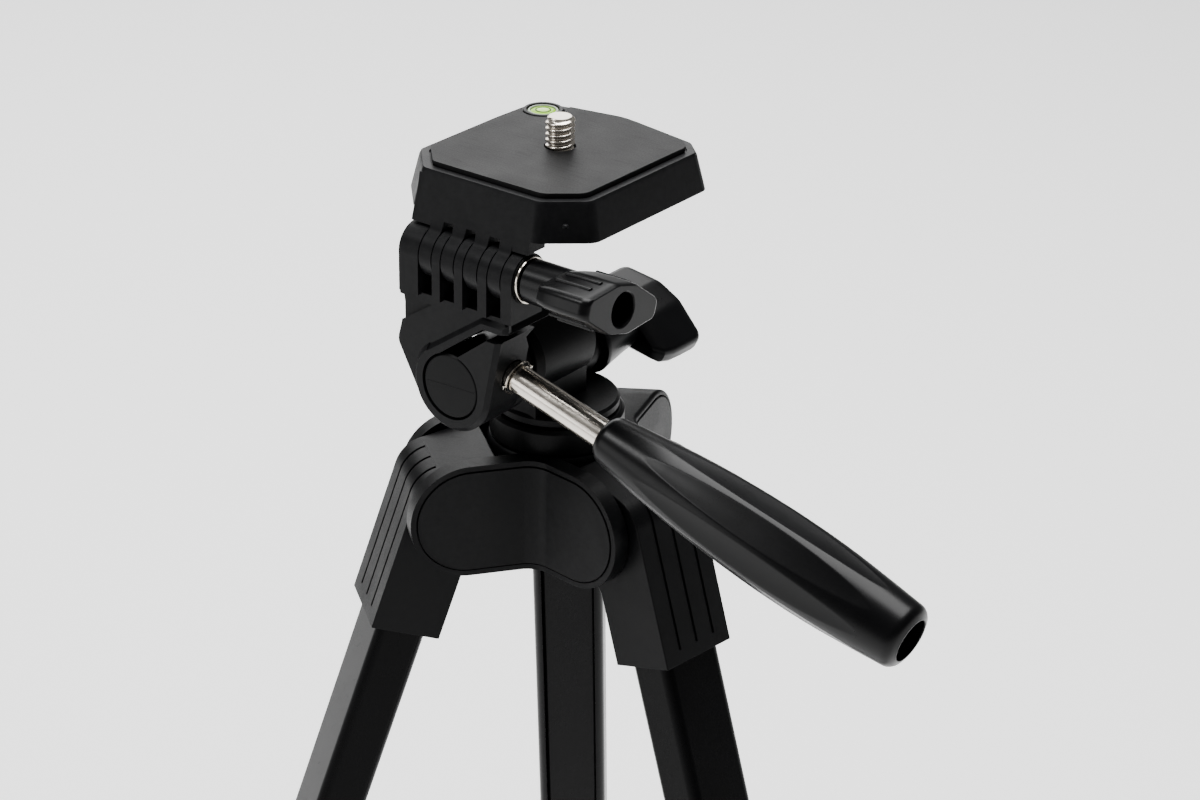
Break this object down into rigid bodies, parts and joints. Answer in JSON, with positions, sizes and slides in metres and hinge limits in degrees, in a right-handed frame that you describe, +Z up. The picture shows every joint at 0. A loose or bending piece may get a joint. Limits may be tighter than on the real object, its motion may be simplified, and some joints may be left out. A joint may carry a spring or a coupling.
{
  "type": "small tripod with three-way head",
  "caption": "Small folding tripod with a panning, tilting and flipping head, mounting screw, bubble level, handle and telescopic legs.",
  "frame": {"origin": "middle of the footprint of the whole part at rest, on the surface that the feet stand on", "axes": "+X along the handle, +Y along the tilt axle away from the clamp body, +Z up"},
  "size_m": [0.2228, 0.2286, 0.3946],
  "materials": {
    "black_plastic": "fine moulded grain, satin",
    "gloss_plastic": "smooth moulded, semi-gloss",
    "pad_rubber": "matt non-slip",
    "black_tube": "black anodised, satin",
    "nickel": "nickel plated, drawn",
    "vial": "clear tinted"
  },
  "bodies": {
    "hub": {"hub_body": "black_plastic", "cheek_cover_1": "black_plastic", "cheek_cover_2": "black_plastic", "cheek_cover_3": "black_plastic", "leg_pin_1": "nickel", "leg_pin_2": "nickel", "leg_pin_3": "nickel", "hub_nut": "nickel", "pan_collar": "black_plastic"},
    "pan_base": {"pan_base": "black_plastic", "tilt_axle": "black_plastic"},
    "pan_knob": {"pan_knob": "gloss_plastic"},
    "tilt_body": {"tilt_body": "black_plastic", "flip_pin": "nickel", "flip_washer": "nickel", "rod_washer": "nickel"},
    "handle": {"handle_rod": "nickel", "handle_grip": "gloss_plastic"},
    "flip_knob": {"flip_knob": "gloss_plastic"},
    "platform": {"platform_shell": "black_plastic", "platform_pad": "pad_rubber", "level_ring": "black_plastic", "level_vial": "vial"},
    "mount_screw": {"mount_screw": "nickel", "screw_wheel": "gloss_plastic"},
    "leg_1": {"leg_socket_1": "black_plastic", "upper_tube_1": "black_tube", "upper_lock_1": "black_plastic"},
    "upper_lever_1": {"upper_lever_1": "gloss_plastic"},
    "middle_leg_1": {"middle_tube_1": "black_tube", "lower_lock_1": "black_plastic"},
    "lower_lever_1": {"lower_lever_1": "gloss_plastic"},
    "lower_leg_1": {"lower_tube_1": "black_tube", "foot_1": "pad_rubber"},
    "leg_2": {"leg_socket_2": "black_plastic", "upper_tube_2": "black_tube", "upper_lock_2": "black_plastic"},
    "upper_lever_2": {"upper_lever_2": "gloss_plastic"},
    "middle_leg_2": {"middle_tube_2": "black_tube", "lower_lock_2": "black_plastic"},
    "lower_lever_2": {"lower_lever_2": "gloss_plastic"},
    "lower_leg_2": {"lower_tube_2": "black_tube", "foot_2": "pad_rubber"},
    "leg_3": {"leg_socket_3": "black_plastic", "upper_tube_3": "black_tube", "upper_lock_3": "black_plastic"},
    "upper_lever_3": {"upper_lever_3": "gloss_plastic"},
    "middle_leg_3": {"middle_tube_3": "black_tube", "lower_lock_3": "black_plastic"},
    "lower_lever_3": {"lower_lever_3": "gloss_plastic"},
    "lower_leg_3": {"lower_tube_3": "black_tube", "foot_3": "pad_rubber"}
  },
  "joints": [
    {"name": "pan_turn", "type": "hinge", "parent": "hub", "child": "pan_base", "pos_m": [-0.02465, -0.00225, 0.328], "axis": [0, 0, 1], "continuous": true},
    {"name": "pan_knob_turn", "type": "hinge", "parent": "pan_base", "child": "pan_knob", "pos_m": [-0.02785, 0.01005, 0.3363], "axis": [0, 1, 0], "range_deg": [0, 90]},
    {"name": "tilt", "type": "hinge", "parent": "pan_base", "child": "tilt_body", "pos_m": [-0.02785, -0.02055, 0.3431], "axis": [0, 1, 0], "range_deg": [-60, 28]},
    {"name": "handle_twist", "type": "hinge", "parent": "tilt_body", "child": "handle", "pos_m": [-0.01715, -0.02755, 0.3468], "axis": [0.9636, 0, -0.2672], "range_deg": [0, 180]},
    {"name": "flip_knob_turn", "type": "hinge", "parent": "tilt_body", "child": "flip_knob", "pos_m": [-0.01025, -0.02915, 0.3701], "axis": [1, 0, 0], "range_deg": [-60, 0]},
    {"name": "platform_flip", "type": "hinge", "parent": "tilt_body", "child": "platform", "pos_m": [-0.02465, -0.02915, 0.3701], "axis": [1, 0, 0], "range_deg": [0, 90]},
    {"name": "mount_screw_turn", "type": "hinge", "parent": "platform", "child": "mount_screw", "pos_m": [-0.02465, -0.00225, 0.383], "axis": [0, 0, 1], "continuous": true},
    {"name": "leg_fold_1", "type": "hinge", "parent": "hub", "child": "leg_1", "pos_m": [-0.00281, -0.00493, 0.3085], "axis": [-0.1219, -0.9925, 0], "range_deg": [-18, 0]},
    {"name": "upper_lever_swing_1", "type": "hinge", "parent": "leg_1", "child": "upper_lever_1", "pos_m": [0.08667, -0.02176, 0.07842], "axis": [-0.3133, 0.0385, 0.9489], "range_deg": [-110, 0]},
    {"name": "lower_lever_swing_1", "type": "hinge", "parent": "middle_leg_1", "child": "lower_lever_1", "pos_m": [0.09548, -0.02123, 0.04758], "axis": [-0.3133, 0.0385, 0.9489], "range_deg": [-110, 0]},
    {"name": "middle_slide_1", "type": "slide", "parent": "leg_1", "child": "middle_leg_1", "axis": [0.3133, -0.0385, -0.9489], "range_m": [0, 0.185]},
    {"name": "lower_slide_1", "type": "slide", "parent": "middle_leg_1", "child": "lower_leg_1", "axis": [0.3133, -0.0385, -0.9489], "range_m": [0, 0.2]},
    {"name": "leg_fold_2", "type": "hinge", "parent": "hub", "child": "leg_2", "pos_m": [-0.03679, 0.01609, 0.3085], "axis": [0.8339, 0.5519, 0], "range_deg": [-18, 0]},
    {"name": "upper_lever_swing_2", "type": "hinge", "parent": "leg_2", "child": "upper_lever_2", "pos_m": [-0.08211, 0.09507, 0.07842], "axis": [0.1742, -0.2632, 0.9489], "range_deg": [-110, 0]},
    {"name": "lower_lever_swing_2", "type": "hinge", "parent": "middle_leg_2", "child": "lower_lever_2", "pos_m": [-0.08823, 0.10142, 0.04758], "axis": [0.1742, -0.2632, 0.9489], "range_deg": [-110, 0]},
    {"name": "middle_slide_2", "type": "slide", "parent": "leg_2", "child": "middle_leg_2", "axis": [-0.1742, 0.2632, -0.9489], "range_m": [0, 0.185]},
    {"name": "lower_slide_2", "type": "slide", "parent": "middle_leg_2", "child": "lower_leg_2", "axis": [-0.1742, 0.2632, -0.9489], "range_m": [0, 0.2]},
    {"name": "leg_fold_3", "type": "hinge", "parent": "hub", "child": "leg_3", "pos_m": [-0.03789, -0.01982, 0.3085], "axis": [-0.7986, 0.6018, 0], "range_deg": [-18, 0]},
    {"name": "upper_lever_swing_3", "type": "hinge", "parent": "leg_3", "child": "upper_lever_3", "pos_m": [-0.09721, -0.0889, 0.07842], "axis": [0.19, 0.2521, 0.9489], "range_deg": [-110, 0]},
    {"name": "lower_lever_swing_3", "type": "hinge", "parent": "middle_leg_3", "child": "lower_lever_3", "pos_m": [-0.10115, -0.0968, 0.04758], "axis": [0.19, 0.2521, 0.9489], "range_deg": [-110, 0]},
    {"name": "middle_slide_3", "type": "slide", "parent": "leg_3", "child": "middle_leg_3", "axis": [-0.19, -0.2521, -0.9489], "range_m": [0, 0.185]},
    {"name": "lower_slide_3", "type": "slide", "parent": "middle_leg_3", "child": "lower_leg_3", "axis": [-0.19, -0.2521, -0.9489], "range_m": [0, 0.2]}
  ]
}
